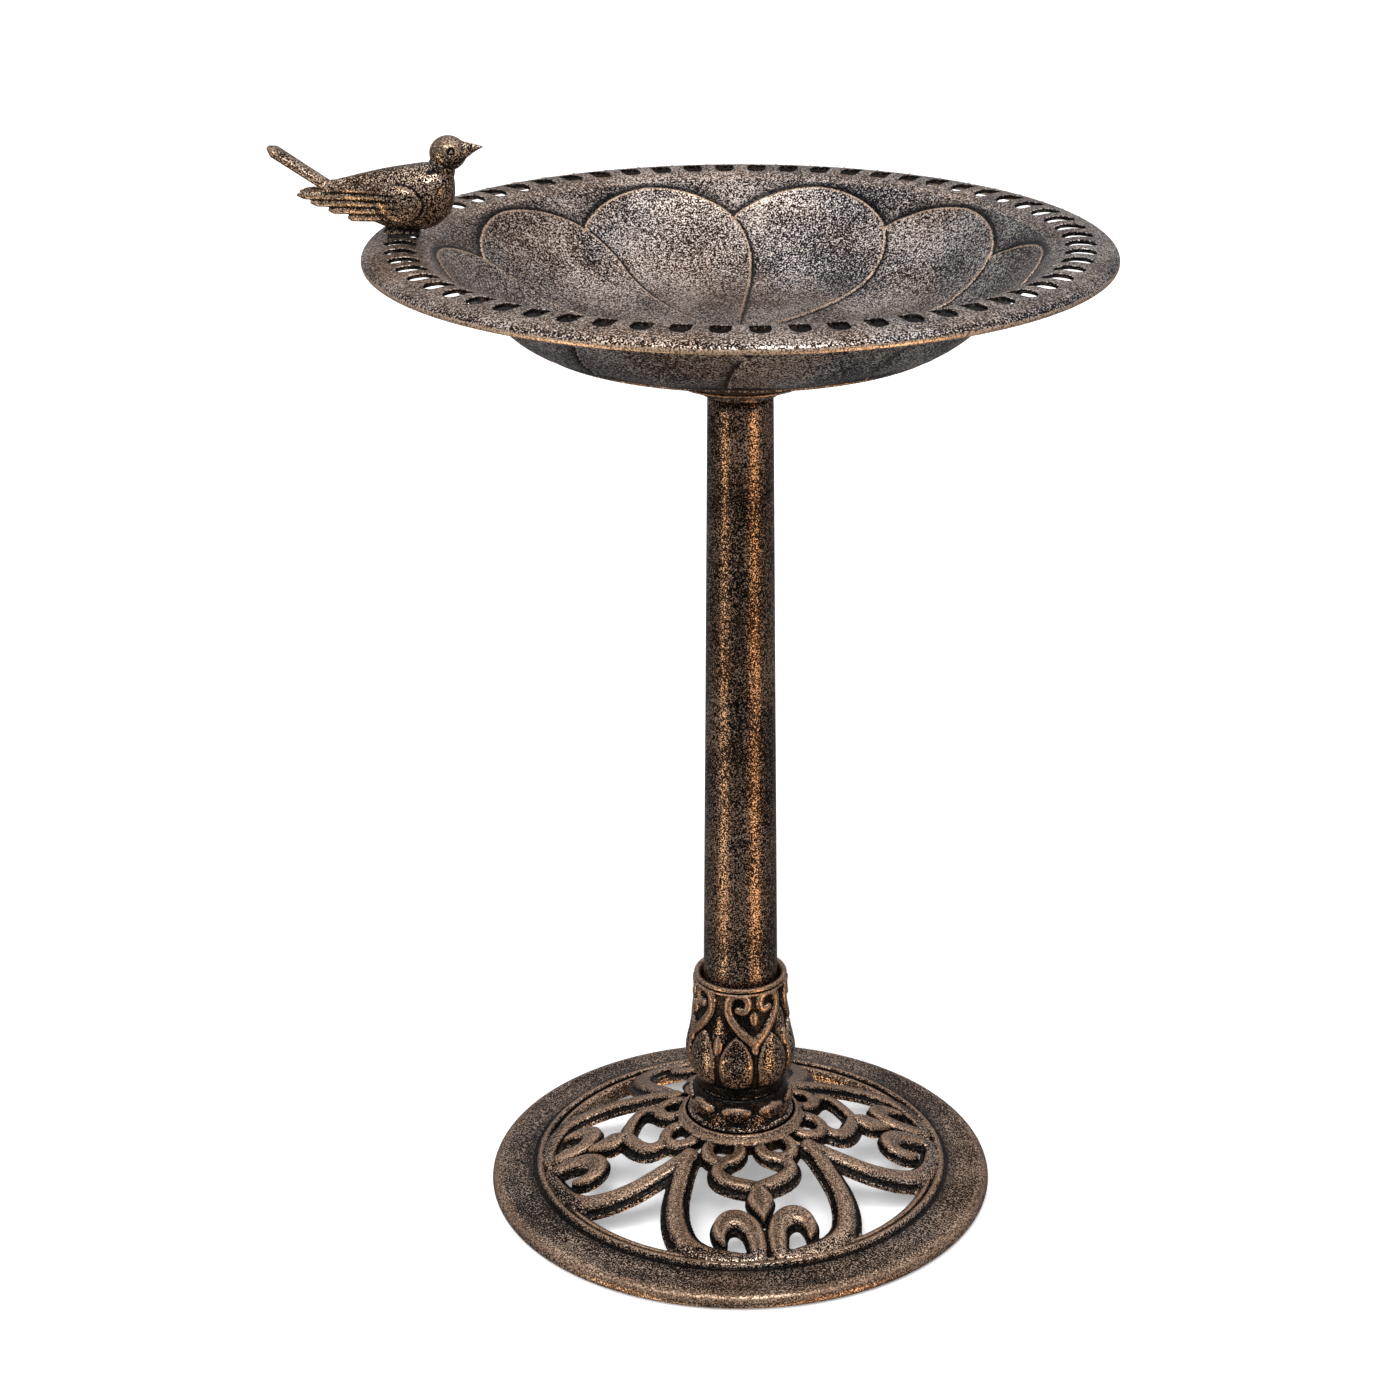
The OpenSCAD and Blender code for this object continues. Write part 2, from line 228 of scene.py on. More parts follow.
class Nodes:
    """A short way to build a node tree."""

    def __init__(self, name):
        self.material = bpy.data.materials.new(name)
        self.material.use_nodes = True
        self.tree = self.material.node_tree
        self.tree.nodes.clear()
        self.shader = self.add("ShaderNodeBsdfPrincipled")
        out = self.add("ShaderNodeOutputMaterial")
        self.tree.links.new(self.shader.outputs[0], out.inputs["Surface"])
        self.place = self.add("ShaderNodeTexCoord").outputs["Object"]

    def add(self, kind, **values):
        node = self.tree.nodes.new(kind)
        for key, value in values.items():
            setattr(node, key, value)
        return node

    def put(self, socket, value):
        if isinstance(value, bpy.types.NodeSocket):
            self.tree.links.new(value, socket)
        else:
            socket.default_value = value

    def noise(self, scale, detail=2.0, rough=0.5, stretch=None):
        where = self.place
        if stretch:
            where = self.vector("MULTIPLY", self.place, stretch)
        node = self.add("ShaderNodeTexNoise")
        self.put(node.inputs["Vector"], where)
        node.inputs["Scale"].default_value = scale
        node.inputs["Detail"].default_value = detail
        node.inputs["Roughness"].default_value = rough
        return node.outputs["Fac"]

    def vector(self, operation, a, b):
        node = self.add("ShaderNodeVectorMath", operation=operation)
        self.put(node.inputs[0], a)
        self.put(node.inputs[1], b)
        return node.outputs[0]

    def math(self, operation, a, b=0.0, clamp=False):
        node = self.add("ShaderNodeMath", operation=operation, use_clamp=clamp)
        self.put(node.inputs[0], a)
        self.put(node.inputs[1], b)
        return node.outputs[0]

    def ramp(self, value, lo, hi, out_lo=0.0, out_hi=1.0):
        node = self.add("ShaderNodeMapRange", clamp=True, interpolation_type="SMOOTHSTEP")
        self.put(node.inputs["Value"], value)
        for key, v in zip(("From Min", "From Max", "To Min", "To Max"), (lo, hi, out_lo, out_hi)):
            node.inputs[key].default_value = v
        return node.outputs[0]

    def mix(self, factor, a, b):
        node = self.add("ShaderNodeMix", data_type="RGBA")
        self.put(node.inputs[0], factor)
        self.put(node.inputs[6], a)
        self.put(node.inputs[7], b)
        return node.outputs[2]

    def attribute(self, name):
        return self.add("ShaderNodeAttribute", attribute_name=name).outputs["Fac"]

    def bump(self, height, strength, distance):
        node = self.add("ShaderNodeBump")
        node.inputs["Strength"].default_value = strength
        node.inputs["Distance"].default_value = distance * MM
        self.put(node.inputs["Height"], height)
        self.put(self.shader.inputs["Normal"], node.outputs[0])

    def set(self, **values):
        for key, value in values.items():
            self.put(self.shader.inputs[key.replace("_", " ")], value)
        return self.material


def rgb(r, g, b):
    return (r, g, b, 1.0)


def bronze(name, ground, grain, warm, cold, flake, edge=(0.95, 0.74, 0.54), share=0.5, wear_and_highlight_strength=1.0,
           rough=0.34, grain_size=1000, drift=0.0):
    """Antique bronze: fine bright grain on a near-black ground, in brown, orange and blue-grey
    clouds, with near-black painted shade in hollows and where the point attribute marks it, and
    rubbed edges with painted highlights in the colour edge. share is how much the grain covers, and
    drift gathers the cold clouds towards +X."""
    n = Nodes(name)
    relief_and_painted_light = n.attribute("relief_and_painted_light")
    fine = n.noise(grain_size, 1.5, 0.6)
    medium = n.noise(0.4 * grain_size, 2.0, 0.5)
    patch = n.noise(21, 2.0, 0.5)
    speck = n.math("ADD", n.math("MULTIPLY", fine, 0.8), n.math("MULTIPLY", medium, 0.2))
    speck = n.math("ADD", speck, n.ramp(patch, 0.3, 0.7, -0.03, 0.03))
    middle = 0.56 - 0.12 * share
    copper = n.ramp(speck, middle - 0.02, middle + 0.025)
    bright = n.ramp(speck, middle + 0.045, middle + 0.085)
    body = n.mix(n.ramp(n.noise(8.5, 2.0, 0.5), 0.46, 0.66), rgb(*grain), rgb(*warm))
    side = n.add("ShaderNodeSeparateXYZ")
    n.put(side.inputs[0], n.place)
    chill = n.math("ADD", n.noise(12.5, 2.0, 0.5), n.math("MULTIPLY", side.outputs[0], drift))
    body = n.mix(n.ramp(chill, 0.50, 0.68), body, rgb(*cold))
    colour = n.mix(copper, rgb(*ground), body)
    colour = n.mix(bright, colour, rgb(*flake))
    # rubbed edges and painted highlights: proud or marked points take the colour edge
    wear_and_highlight = n.math("MULTIPLY", n.ramp(relief_and_painted_light, 0.15, 0.7), n.ramp(fine, 0.40, 0.52, 0.22, 1.0))
    colour = n.mix(n.math("MULTIPLY", wear_and_highlight, wear_and_highlight_strength, True), colour, rgb(*edge))
    # painted shade: sunken or marked points turn near-black
    painted_shade = n.ramp(n.math("MULTIPLY", relief_and_painted_light, -1.0), 0.05, 0.7)
    colour = n.mix(n.math("MULTIPLY", painted_shade, 0.94), colour, rgb(0.004, 0.004, 0.005))
    n.bump(speck, 0.5, 0.3)
    return n.set(Base_Color=colour, Metallic=0.88,
                 Roughness=n.ramp(speck, 0.35, 0.65, rough + 0.1, rough - 0.04))


def zinc(name):
    """Zinc-plated steel: fine clouds and a light brushed grain."""
    n = Nodes(name)
    cloud = n.noise(260, 3.0)
    grain = n.noise(90, 2.0, 0.5, (1, 1, 14))
    colour = n.mix(n.ramp(cloud, 0.3, 0.7), rgb(0.42, 0.42, 0.43), rgb(0.62, 0.62, 0.61))
    n.bump(grain, 0.25, 0.1)
    return n.set(Base_Color=colour, Metallic=1.0, Roughness=n.ramp(cloud, 0.3, 0.7, 0.28, 0.46))


def rubber(name):
    """Black rubber with a faint mottled bloom."""
    n = Nodes(name)
    cloud = n.noise(420, 4.0, 0.6)
    colour = n.mix(n.ramp(cloud, 0.35, 0.7), rgb(0.016, 0.016, 0.017), rgb(0.034, 0.034, 0.035))
    n.bump(cloud, 0.3, 0.15)
    return n.set(Base_Color=colour, Roughness=n.ramp(cloud, 0.3, 0.7, 0.6, 0.8))


def nylon(name):
    """Natural nylon with faint turning marks."""
    n = Nodes(name)
    marks = n.noise(60, 2.0, 0.5, (1, 1, 30))
    colour = n.mix(n.ramp(marks, 0.3, 0.7), rgb(0.66, 0.63, 0.55), rgb(0.76, 0.74, 0.67))
    n.bump(marks, 0.2, 0.08)
    return n.set(Base_Color=colour, Roughness=n.ramp(marks, 0.3, 0.7, 0.38, 0.5))


# ---------------------------------------------------------------- bowl

CREST_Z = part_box("bowl")[1][2] / MM
SLOT_R = 224.5
SLOT_COUNT = 60
SLOT_LENGTH = 20.5
SLOT_WIDTH = 13.0
PETALS = 10
PETAL_TURN = math.radians(73.65)
COLUMNS = 1080
BAND_IN, BAND_OUT = 206.0, 243.0

# Profiles as (radius, height below the crest).
INSIDE = [(0, 68.5), (25, 68.5), (50, 68.4), (80, 67.8), (110, 65.2), (130, 61), (143, 56.5),
          (150, 52.4), (160, 45.6), (172, 36.3), (187, 22.9), (194, 15.6), (200, 9.8), (206, 5.2),
          (211, 2.6), (217.5, 0.8), (224.5, 0), (235, 1.0), (243, 2.9)]
LIP = [(243, 2.9), (246.5, 4.4), (249, 6.4), (250, 8.6), (249.6, 10.3), (248, 10.6),
       (246.4, 8.6), (243, 6.2)]
UNDER = [(243, 6.2), (235, 4.0), (224.5, 3.0), (217.5, 3.9), (210, 6.8), (206, 9.2),
         (200, 14), (187, 26.8), (172, 41.2), (160, 52.3), (150, 59), (145.5, 61.8),
         (143.2, 63.1), (141.4, 62.2), (139.8, 60.9), (130, 64.4),
         (110, 68.4), (80, 71), (50, 71.5), (25, 71.5), (0, 71.5)]


def height_of(table):
    """Height as a function of radius, along a smooth curve through a profile table."""
    curve = spline(sorted(table), 8)
    order = np.argsort(curve[:, 0])
    return lambda r: CREST_Z - np.interp(r, curve[order, 0], curve[order, 1])


def petal_edge_turn(r):
    """How far a petal's full edge lies clockwise of its own middle, in degrees, at radius r."""
    return np.interp(r, [0, 50, 80, 110, 135, 150, 160, 170, 176, 180],
                     [18.6, 20.5, 21.7, 22.5, 22.9, 22.7, 22.1, 20.7, 19.5, 18.3])


PETAL_HALF = 18.3


def petal_tip(turned):
    """Radius of a petal's rounded end, at an angle (degrees) from its middle."""
    share = np.clip(np.abs(turned) / PETAL_HALF, 0, 1)
    return 180 + 21 * (1 - share ** 1.7) ** 0.75


def petal_outline():
    """Outline of one petal whose middle is at angle 0: from the notch over the tip and down its
    full edge to the bowl's centre. Angles run clockwise."""
    a = np.linspace(-PETAL_HALF, PETAL_HALF, 81)
    r = np.linspace(179, 6, 110)
    path = np.vstack([np.stack([a, petal_tip(a)], 1), np.stack([petal_edge_turn(r), r], 1)])
    a = np.radians(path[:, 0])
    xy = np.stack([path[:, 1] * np.cos(a), -path[:, 1] * np.sin(a)], 1)
    for _ in range(3):
        xy[1:-1] = 0.25 * xy[:-2] + 0.5 * xy[1:-1] + 0.25 * xy[2:]
    return xy


def petal_turn(angle):
    """Angle from the middle of the nearest petal."""
    pitch = TAU / PETALS
    return np.mod(angle - PETAL_TURN + pitch / 2, pitch) - pitch / 2


def petal_line(r, angle):
    """Distance of polar points to the nearest petal outline, and whether they lie on a petal."""
    outline = petal_outline()
    line = np.full(len(r), 1e9)
    for k in (-1, 0, 1):
        a = petal_turn(angle) - k * TAU / PETALS
        xy = np.stack([r * np.cos(a), r * np.sin(a)], 1)
        dist, _ = path_distance(xy, outline)
        line = np.minimum(line, dist)
    return line, r < petal_tip(np.degrees(-petal_turn(angle)))


def petal_relief(r, angle):
    """Height (mm) of the embossed petals at polar points: each overlaps its clockwise neighbour."""
    line, within = petal_line(r, angle)
    turned = np.degrees(-petal_turn(angle))
    across = np.mod(turned - petal_edge_turn(r), 360 / PETALS) / (360 / PETALS)
    ramp = 0.5 + 0.9 * across ** 1.5
    dish = -1.6 * np.sin(math.pi * across) ** 2 * smooth(r, 50, 120) * (1 - smooth(r, 178, 200))
    height = np.where(within, ramp + dish, 0.0)
    bead = np.where(within, 0.6 * np.exp(-((line - 0.9) / 0.75) ** 2), 0.0)
    groove = -0.9 * np.exp(-(line / 0.7) ** 2) * (1 - within * smooth(line, 0.2, 0.7))
    fade = smooth(r, 8, 40)
    return (height + bead + groove) * fade


def bowl_painted_light(co):
    """Painted shade (above 0) and painted highlights (below 0) of the bowl, at points of its
    surface.
    """
    r, angle, z = np.hypot(co[:, 0], co[:, 1]), np.arctan2(co[:, 1], co[:, 0]), co[:, 2]
    below = z < (INSIDE_Z(r) + UNDER_Z(r)) / 2
    line, within = petal_line(r, angle)
    across = np.mod(np.degrees(-petal_turn(angle)) - petal_edge_turn(r), 360 / PETALS)
    own = np.where(r < 179, across > 180 / PETALS, within)
    # painted highlight on each petal's own edge line; painted shadow just outside the line and
    # broader painted shade beyond it
    edge = np.where(own, -0.9 * np.exp(-((line - 0.8) / 0.9) ** 2),
                    np.exp(-(line / 1.6) ** 2) + 0.28 * np.exp(-(line / 7) ** 2))
    edge = edge * smooth(r, 20, 60) * (r < 205)
    # painted shade in the slot walls
    wall = (r > 208) & (r < 241) & (z < INSIDE_Z(r) - 0.5) & (z > UNDER_Z(r) + 0.3)
    # painted highlight along the lip's lower edge
    lip = -0.85 * smooth(-z, 6.6 - CREST_Z, 8.0 - CREST_Z) * (r > 246)
    # painted shade on the underside, darker towards the outer edge and next to the saucer
    under = 0.28 + 0.5 * smooth(r, 190, 215) + 0.7 * (1 - smooth(r, 144, 149))
    # the rim band's top is drawn lighter; painted shade between the outer petal tips
    top = np.where(r > 205, -0.30, edge + 0.2 * smooth(r, 110, 150) * (1 - within))
    return np.where(r > 246, lip, np.where(wall, 0.8, np.where(below, under + edge, top)))


def bowl_polar(rings, under):
    """Points of plain rings of the bowl, on its top or on its underside."""
    angle = np.arange(COLUMNS) * TAU / COLUMNS
    r = np.repeat(np.asarray(rings, float)[:, None], COLUMNS, 1).ravel()
    a = np.tile(angle, len(rings))
    z = (UNDER_Z if under else INSIDE_Z)(r)
    lift = petal_relief(r, a)
    wall = smooth(r, 144, 150) if under else 1.0
    z = z + np.where(r < BAND_IN - 1, lift * wall, 0)
    return np.stack([r * np.cos(a), r * np.sin(a), z], 1)


def slot_outline(count):
    """A rounded slot as (radial, tangential) offsets from its middle, evenly spaced."""
    w = SLOT_WIDTH / 2
    straight = SLOT_LENGTH / 2 - w
    total = 4 * straight + TAU * w
    out = []
    for i in range(count):
        s = (i + 0.5) / count * total
        if s < 2 * straight:
            out.append((-straight + s, w))
            continue
        s -= 2 * straight
        if s < math.pi * w:
            a = math.pi / 2 - s / w
            out.append((straight + w * math.cos(a), w * math.sin(a)))
            continue
        s -= math.pi * w
        if s < 2 * straight:
            out.append((straight - s, -w))
            continue
        s -= 2 * straight
        a = -math.pi / 2 - s / w
        out.append((-straight + w * math.cos(a), w * math.sin(a)))
    return np.array(out)


def slot_cell():
    """One slotted cell of the rim as rows of (radius, angle, level): level 0 is the top surface,
    1 the underside. Rows run from the cell's edge on top, over the slot's wall, to its edge below.
    """
    half = math.pi / SLOT_COUNT
    per_arc = COLUMNS // SLOT_COUNT
    per_side = 10
    arc = np.linspace(-half, half, per_arc, endpoint=False)
    side = np.linspace(BAND_OUT, BAND_IN, per_side, endpoint=False)
    edge = [(BAND_OUT, -t) for t in arc]
    edge += [(r, -half) for r in side]
    edge += [(BAND_IN, t) for t in arc]
    edge += [(r, half) for r in side[::-1] - (side[1] - side[0])][:per_side]
    edge = np.array(edge)
    fine = slot_outline(len(edge) * 8)
    x, y = SLOT_R + fine[:, 0], fine[:, 1]
    fine_polar = np.stack([np.hypot(x, y), np.arctan2(y, x)], 1)

    def bearing(p, radial, turned):
        """Direction from the slot's middle, with the shape scaled to a square."""
        return np.arctan2(p[:, 1] / turned, (p[:, 0] - SLOT_R) / radial)

    # match each edge point to the slot point with the same bearing
    want = bearing(edge, (BAND_OUT - BAND_IN) / 2, half)
    have = bearing(fine_polar, SLOT_LENGTH / 2, SLOT_WIDTH / 2 / SLOT_R)
    pick = [int(np.argmin(np.abs(np.angle(np.exp(1j * (have - w)))))) for w in want]
    hole = fine_polar[pick]
    rows = []
    for t, dip in ((1.0, 0), (0.66, 0), (0.36, 0), (0.16, 0.04), (0.07, 0.22), (0.02, 0.6)):
        rows.append((hole + (edge - hole) * t, 0.0, dip))
    rows.append((hole, 0.0, 1.1))
    rows.append((hole, 1.0, -0.5))
    for t, dip in ((0.05, -0.1), (0.3, 0), (0.66, 0), (1.0, 0)):
        rows.append((hole + (edge - hole) * t, 1.0, dip))
    return rows, len(edge)


INSIDE_Z = height_of(INSIDE)
UNDER_Z = height_of(UNDER)


def build_bowl(material):
    """The dish: petalled inside, slotted crest, rolled lip and underside, as one closed mesh."""
    points, faces = [], []

    def add(p, f):
        base = sum(len(q) for q in points)
        points.append(p)
        faces.extend(tuple(base + v for v in face) for face in f)

    top_rings = np.concatenate([np.linspace(4, 60, 22, endpoint=False),
                                np.linspace(60, 120, 44, endpoint=False),
                                np.linspace(120, BAND_IN, 122)])
    add(bowl_polar(top_rings, False), grid_faces(len(top_rings), COLUMNS))
    under_rings = np.concatenate([np.linspace(BAND_IN, 148, 64), np.linspace(147, 138, 14),
                                  np.linspace(136, 4, 16)])
    add(bowl_polar(under_rings, True), grid_faces(len(under_rings), COLUMNS))
    for rings, under in ((top_rings[0], False), (under_rings[-1], True)):
        ring = bowl_polar([rings], under)
        centre = np.array([[0, 0, ring[0, 2]]])
        add(np.vstack([ring, centre]),
            [(j, (j + 1) % COLUMNS, COLUMNS) for j in range(COLUMNS)])
    lip = spline(LIP, 5)
    angle = np.arange(COLUMNS) * TAU / COLUMNS
    ring = np.stack([np.outer(lip[:, 0], np.cos(angle)), np.outer(lip[:, 0], np.sin(angle)),
                     np.repeat(CREST_Z - lip[:, 1:], COLUMNS, 1)], 2).reshape(-1, 3)
    add(ring, grid_faces(len(lip), COLUMNS))
    rows, count = slot_cell()
    for k in range(SLOT_COUNT):
        turn = (k + 0.5) * TAU / SLOT_COUNT
        cell = []
        for polar, level, dip in rows:
            r, a = polar[:, 0], polar[:, 1] + turn
            z = (UNDER_Z(r) if level else INSIDE_Z(r)) - dip
            cell.append(np.stack([r * np.cos(a), r * np.sin(a), z], 1))
        add(np.vstack(cell), grid_faces(len(rows), count))
    obj = tidy(make("bowl_shell", np.vstack(points), faces, material), 2e-5)
    return mark_relief(obj, 1, 9, bowl_painted_light)


# ---------------------------------------------------------------- base

GRILLE_TURN = math.radians(8.5)
DOME = [(0, 49.5), (47, 50), (72, 44.5), (90, 38), (115, 28.5), (141, 18), (150, 14.5)]
BAR_DEPTH = 8.0


def dome_z(x, y):
    """Height of the grille's ground above the floor (mm)."""
    r = np.hypot(x, y)
    d = np.array(DOME)
    return np.interp(r, d[:, 0], d[:, 1])


# Hub disc with its raised sloping edge, as (r, z).
HUB = [(3, 41.5), (46.2, 41.5), (46.7, 48), (46.9, 49.8), (46.2, 51.2), (44.6, 53.4), (43, 55.7),
       (42, 56.8), (41, 56.9), (40.3, 56), (40.1, 54), (40.1, 49.5), (3, 49.4)]
# Strokes of one quarter, pointing along +v: (u, v, half width) in the grille's own plane.
ARM = [(45, 44, 6.8), (49.5, 54, 6.6), (55, 69, 6.4), (60.5, 87, 6.8), (61.5, 106, 7.2),
       (56.5, 123, 7.2), (44, 134.5, 6.8), (26, 141, 5.8), (12, 143, 5), (8, 138, 5.5)]
CURL = [(7.5, 142, 5.2), (7.2, 131, 6.4), (9.6, 118.5, 7), (17, 110.6, 7.4), (25.5, 109.6, 7.4),
        (31.4, 115, 6.2), (32.6, 122, 4.2), (31.2, 128, 1.6)]
BAND = [(17, 57, 4.6), (25, 63, 5.2), (26.2, 70.5, 5.2), (19.5, 77.5, 5.2), (9, 82.5, 5.2),
        (-1, 86, 5.2)]
BUD = [(0, 88, 5), (0, 92, 8.4), (0, 97, 9.6), (0, 103, 7), (0, 109, 3.6), (0, 113, 1.2)]
LEDGE = 3.8


def scallop(middle_deg):
    """A ring round one of the small holes beside the hub."""
    a = math.radians(middle_deg)
    u, v = 50.5 * math.sin(a), 50.5 * math.cos(a)
    t = np.linspace(0, TAU, 33)
    return [(u + 12 * math.sin(s), v + 12 * math.cos(s), 5) for s in t]


def bar(name, stroke, turn, mirror=1, proud=0.0, steps=6, ledge=LEDGE):
    """A rounded casting bar on a wider, thinner ledge, along a stroke laid on the dome."""
    p = spline([(mirror * u, v, w) for u, v, w in stroke], steps)
    tangent = np.gradient(p[:, :2], axis=0)
    tangent /= np.linalg.norm(tangent, axis=1)[:, None]
    across = np.stack([tangent[:, 1], -tangent[:, 0]], 1)
    # end caps: three shrinking sections beyond each end
    first, last = p[0], p[-1]
    rows = [(p[i, :2], across[i], p[i, 2], 1.0) for i in range(len(p))]
    for k in (0.35, 0.7, 0.92):
        shrink = math.sqrt(1 - k * k)
        start, end = first[:2] - tangent[0] * first[2] * k, last[:2] + tangent[-1] * last[2] * k
        rows.insert(0, (start, across[0], first[2] * shrink, shrink))
        rows.append((end, across[-1], last[2] * shrink, shrink))
    # half of the section: share of the half width, distance beyond it, height
    half_section = [(0.25, 0, 1.25), (0.6, 0, 0.75), (0.85, 0, -0.3), (1, 0, -2.2), (1, 0.3, -3.9),
                    (1, ledge - 0.5, -4.4), (1, ledge, -5.2), (1, ledge - 0.4, -BAR_DEPTH)]
    section = half_section + [(-a, -b, c) for a, b, c in half_section[::-1]]
    share, beyond, tall = np.array(section).T
    n = len(section)
    points = []
    rot = np.array([[math.cos(turn), -math.sin(turn)], [math.sin(turn), math.cos(turn)]])
    for middle, side, half, rise in rows:
        uv = middle + np.outer(share * half + beyond * rise, side)
        xy = np.stack([uv[:, 0], -uv[:, 1]], 1) @ rot.T
        z = dome_z(xy[:, 0], xy[:, 1]) + np.where(tall > -3, proud - 2.5 * (1 - rise), 0) + tall
        points.append(np.column_stack([xy, z]))
    faces = grid_faces(len(rows), n)
    faces.append(tuple(range(n)))
    faces.append(tuple(range((len(rows) - 1) * n, len(rows) * n)))
    return tidy(make(name, np.vstack(points), faces))


def build_grille(material):
    """The pierced dome: four quarters of strokes, the hub disc and the upright rim, cast as one."""
    parts = []
    for q in range(4):
        turn = GRILLE_TURN + q * TAU / 4
        for m in (-1, 1):
            parts.append(bar("arm", ARM, turn, m))
            parts.append(bar("curl", CURL, turn, m, 0.8, ledge=2.0))
            parts.append(bar("band", BAND, turn, m, 0.2, ledge=3.0))
            parts.append(bar("scallop", scallop(22.5), turn, m, 0.2, 1, 1.2))
        parts.append(bar("bud", BUD, turn, 1, 1.4, ledge=1.6))
    parts.append(lathe("hub", HUB, None, 128))
    rim = [(138.5, 8), (144.8, 6), (144.8, 15.8), (142.5, 16), (139.5, 14)]
    parts.append(lathe("rim", rim, None, 256))
    flange = [(140, 3), (156.8, 3), (156.8, 5.9), (144, 5.9), (144, 9), (140, 9)]
    parts.append(lathe("flange", flange, None, 256))
    obj = cast(join("base_grille_cast", parts), 0.85, 3, material)

    # painted light of the grille: painted shade on the bars' flanks, under the hub's outer edge and
    # in the hub's recess; painted highlights on the hub's rim and along the bars' crowns
    def painted_light_and_wear(co):
        r = np.hypot(co[:, 0], co[:, 1])
        below = dome_z(co[:, 0], co[:, 1]) - co[:, 2]
        flank_shade = smooth(below, 0.5, 2.4) * (r < 138) * (r > 47)
        shade = 0.9 * (1 - smooth(r, 47.2, 50.5)) * (r > 46) * (co[:, 2] < 50.6)
        edge = -0.7 * smooth(r, 42.5, 45.2) * (r < 47.5) * (co[:, 2] > 50.4)
        crown_highlight = -0.36 * (1 - smooth(below, -0.9, 0.3)) * (r < 138) * (r > 49)
        return np.maximum.reduce([0.9 * flank_shade, shade, 0.9 * (r < 41)]) + edge + crown_highlight

    return mark_relief(obj, 12, 0.5, painted_light_and_wear)


def build_ring(material):
    """Hollow base ring: rolled outer edge, broad band, groove and a thin bead inside."""
    outer = spline([(180.5, 0.4), (183.8, 1.6), (185, 5), (183.2, 9), (178.6, 11.4), (171, 11.7),
                    (162, 12.4), (155.8, 13.2), (153.4, 13.0), (152.4, 13.6), (151.4, 16.0),
                    (149.4, 17.0), (147.3, 16.2), (146, 14), (145.2, 10)], 5)
    inner = [(145.2, 6.2), (148.3, 6.2), (148.6, 9.6), (170, 8.6), (176.5, 7.6), (178.2, 4),
             (178.4, 0.4)]
    obj = lathe("base_ring_cast", np.vstack([outer, inner]), material, 360)

    # painted light of the ring: painted shade in the groove, across the band and on its inner wall
    # and underside; wear and painted highlights on the bead and the outer roll
    def painted_light_and_wear(co):
        r, z = np.hypot(co[:, 0], co[:, 1]), co[:, 2]
        groove = np.exp(-((r - 153.2) / 1.3) ** 2) + 0.35 * smooth(-r, -164, -154) * (r > 153) \
            + 0.2 * (r > 153)
        wear_and_highlight = 0.45 * np.exp(-((r - 149.4) / 1.6) ** 2) * (z > 15.6) \
            + 0.34 * np.exp(-((r - 180) / 4.0) ** 2) * (z > 5)
        top = np.maximum(groove, 0.9 * (r < 147.2))
        return np.where(z > 10, top, 0.9 * (r < 178) * (z < 9)) - wear_and_highlight

    return mark_relief(obj, 8, 0.5, painted_light_and_wear)


# ---------------------------------------------------------------- column foot

SOCKET_TURN = math.radians(17.5)
HEART = [(-0.8, 127.8), (-3.4, 130.4), (-8.9, 135.2), (-15.4, 143), (-19.6, 150), (-20.6, 156),
         (-19.8, 161.6), (-16.4, 165.4), (-11.6, 166.3), (-7, 164.6), (-4.7, 160.4), (-5.3, 155.8),
         (-8.4, 153.2), (-12.2, 154.2)]
SOCKET = [(31.4, 80.2), (31.8, 83), (32.6, 85.5), (34.6, 89.5), (37, 95), (38.9, 101),
          (39.6, 107), (39.2, 112.5), (37.9, 119), (36.8, 124), (35.6, 131), (34.7, 139),
          (34.2, 147), (33.9, 156), (33.7, 164), (33.7, 170)]


def dome(square):
    """Height of a rounded form, 0-1, from the squared distance to its middle (1 at its edge)."""
    return np.sqrt(np.clip(1 - square, 0, 1))


def leaf_shape(s, z, low, wide, high, half):
    """A pointed leaf from low to high, widest at wide; its height from 0 outside to 1."""
    up = np.clip((z - wide) / (high - wide), 0, 1)
    down = np.clip((wide - z) / (wide - low), 0, 1)
    width = half * np.clip(1 - up ** 1.8, 0, 1) ** 0.8 * np.clip(1 - down ** 3, 0, 1) ** 0.4
    return dome((s / (width + 1e-6)) ** 2) * (z > low) * (z < high)


def socket_forms(angle, z):
    """Heights (mm) above the ground of the socket's scrolls, buds, leaves and bands."""
    turn = np.mod(angle + TAU / 4 - SOCKET_TURN + TAU / 8, TAU / 4) - TAU / 8
    s = turn * 35.0
    near = np.stack([-np.abs(s), z], 1)
    dist, along = path_distance(near, spline(HEART, 5))
    scroll = 3.6 * dome((dist / (3.8 - 0.6 * along)) ** 2) ** 0.8
    bud = 3.2 * leaf_shape(s, z, 141.6, 149.2, 152.6, 4.0)
    bead = 3.4 * leaf_shape(s, z, 119.6, 125.2, 132.4, 3.1)
    gap = (TAU / 8 - np.abs(turn)) * 35.0
    hood = 1.5 * leaf_shape(gap, z, 125, 134, 148, 7.4)
    drop = 3.8 * leaf_shape(gap, z, 118.6, 125.4, 132.6, 4.0)
    lobe = np.mod(angle + TAU / 4 - SOCKET_TURN, TAU / 8) - TAU / 16
    petal = leaf_shape(lobe * 39.5, z, 84, 112, 133, 13.7)
    petal = 3.4 * petal ** 0.8 * smooth(z, 84, 93)
    band = 2.6 * smooth(z, 164.4, 165.4) * (1 - smooth(z, 166.4, 167)) \
        + 2.6 * smooth(z, 167.8, 168.4)
    return scroll * (z < 166), np.maximum.reduce([bud, bead, drop]), np.maximum(hood, petal), band


def socket_height(angle, z):
    """Relief of the socket (mm) above its ground, at an angle and a height."""
    top = np.maximum.reduce(socket_forms(angle, z))
    return np.where(z < 88, np.maximum(top, 2.6 * smooth(-z, -92, -84)), top)


